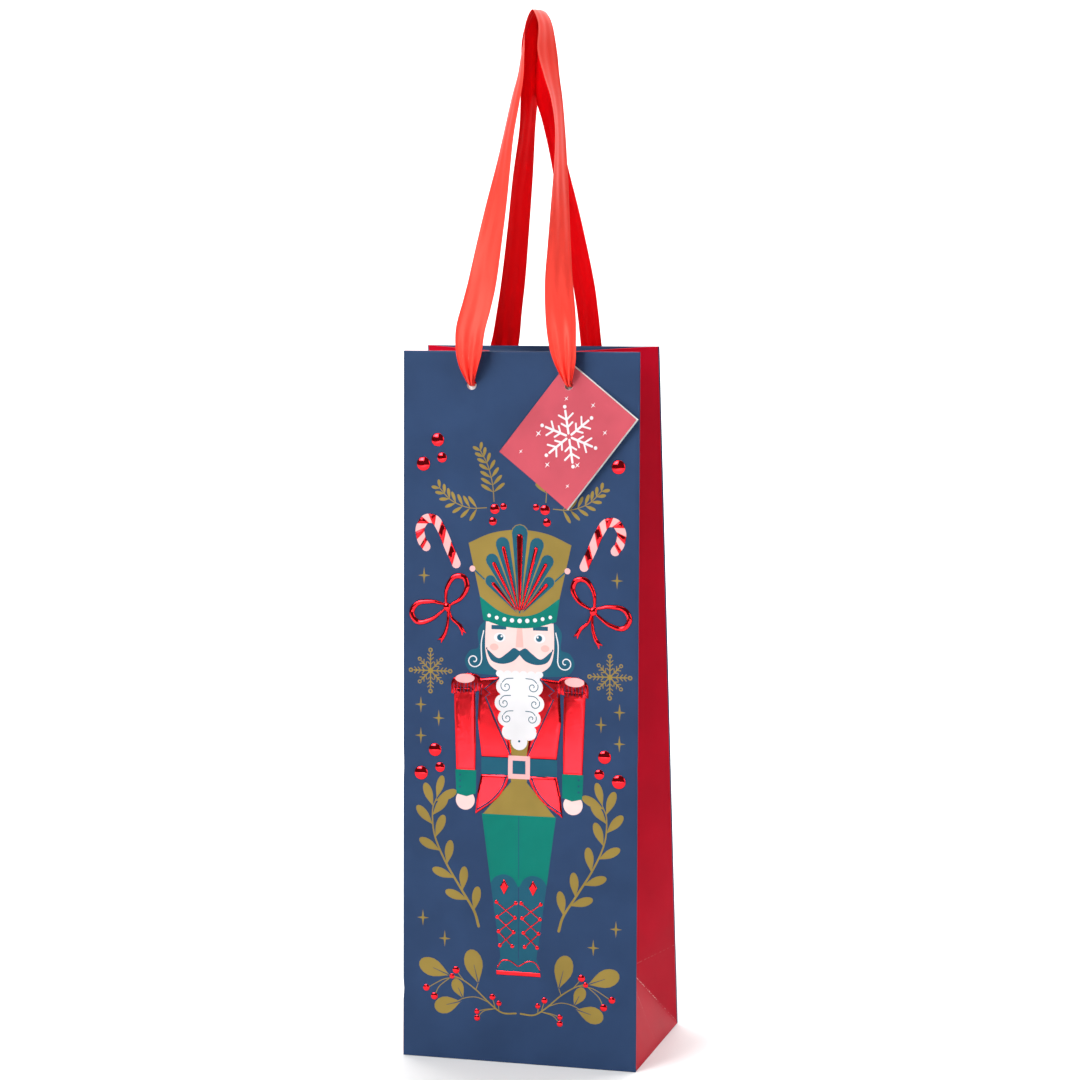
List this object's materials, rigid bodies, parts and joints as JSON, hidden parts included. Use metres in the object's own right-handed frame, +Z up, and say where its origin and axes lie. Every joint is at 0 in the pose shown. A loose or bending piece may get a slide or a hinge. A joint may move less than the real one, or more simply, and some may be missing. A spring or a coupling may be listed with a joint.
{
  "type": "wine gift bag",
  "caption": "Tall folded-paper gift bag for a bottle, with inward-tucked side gussets, swinging ribbon loop handles and a folded hanging tag.",
  "frame": {"origin": "centre of the flat base, on the surface the bag stands on", "axes": "+Z up, -Y the printed front, +X to the right as seen from the front"},
  "size_m": [0.12, 0.085, 0.5132],
  "materials": {
    "printed_paper": "printed navy, satin laminate with foil and ink motifs",
    "gusset_paper": "printed deep red, satin laminate",
    "paper_inside": "uncoated white inside face",
    "board": "plain grey board",
    "ribbon": "red double-faced satin ribbon",
    "tag_card": "matt coral red card with white cut edges"
  },
  "bodies": {
    "bag": {"front_panel": "printed_paper", "back_panel": "printed_paper", "left_gusset": "gusset_paper", "right_gusset": "gusset_paper", "side_seam_flap": "paper_inside", "front_reinforcement_card": "board", "back_reinforcement_card": "board", "front_turnover": "printed_paper", "back_turnover": "printed_paper", "left_gusset_turnover": "gusset_paper", "right_gusset_turnover": "gusset_paper", "back_base_flap": "printed_paper", "front_base_flap": "printed_paper", "left_base_flap": "gusset_paper", "right_base_flap": "gusset_paper", "base_card": "board", "front_handle_knots": "ribbon", "back_handle_knots": "ribbon"},
    "front_handle": {"front_handle_ribbon": "ribbon"},
    "back_handle": {"back_handle_ribbon": "ribbon"},
    "tag_back": {"tag_back_leaf": "tag_card"},
    "tag_cover": {"tag_cover_leaf": "tag_card"}
  },
  "joints": [
    {"name": "front_handle_swing", "type": "hinge", "parent": "bag", "child": "front_handle", "pos_m": [0, -0.02509, 0.3339], "axis": [1, 0, 0], "range_deg": [0, 150]},
    {"name": "back_handle_swing", "type": "hinge", "parent": "bag", "child": "back_handle", "pos_m": [0, 0.0226, 0.33373], "axis": [-1, 0, 0], "range_deg": [0, 165]},
    {"name": "tag_swing", "type": "hinge", "parent": "bag", "child": "tag_back", "pos_m": [0.0248, -0.0206, 0.3336], "axis": [0, 0.9978, -0.067], "range_deg": [-30, 30]},
    {"name": "tag_cover_open", "type": "hinge", "parent": "tag_back", "child": "tag_cover", "pos_m": [0.01931, -0.02066, 0.33795], "axis": [-0.6196, -0.0526, -0.7831], "range_deg": [0, 8]}
  ]
}
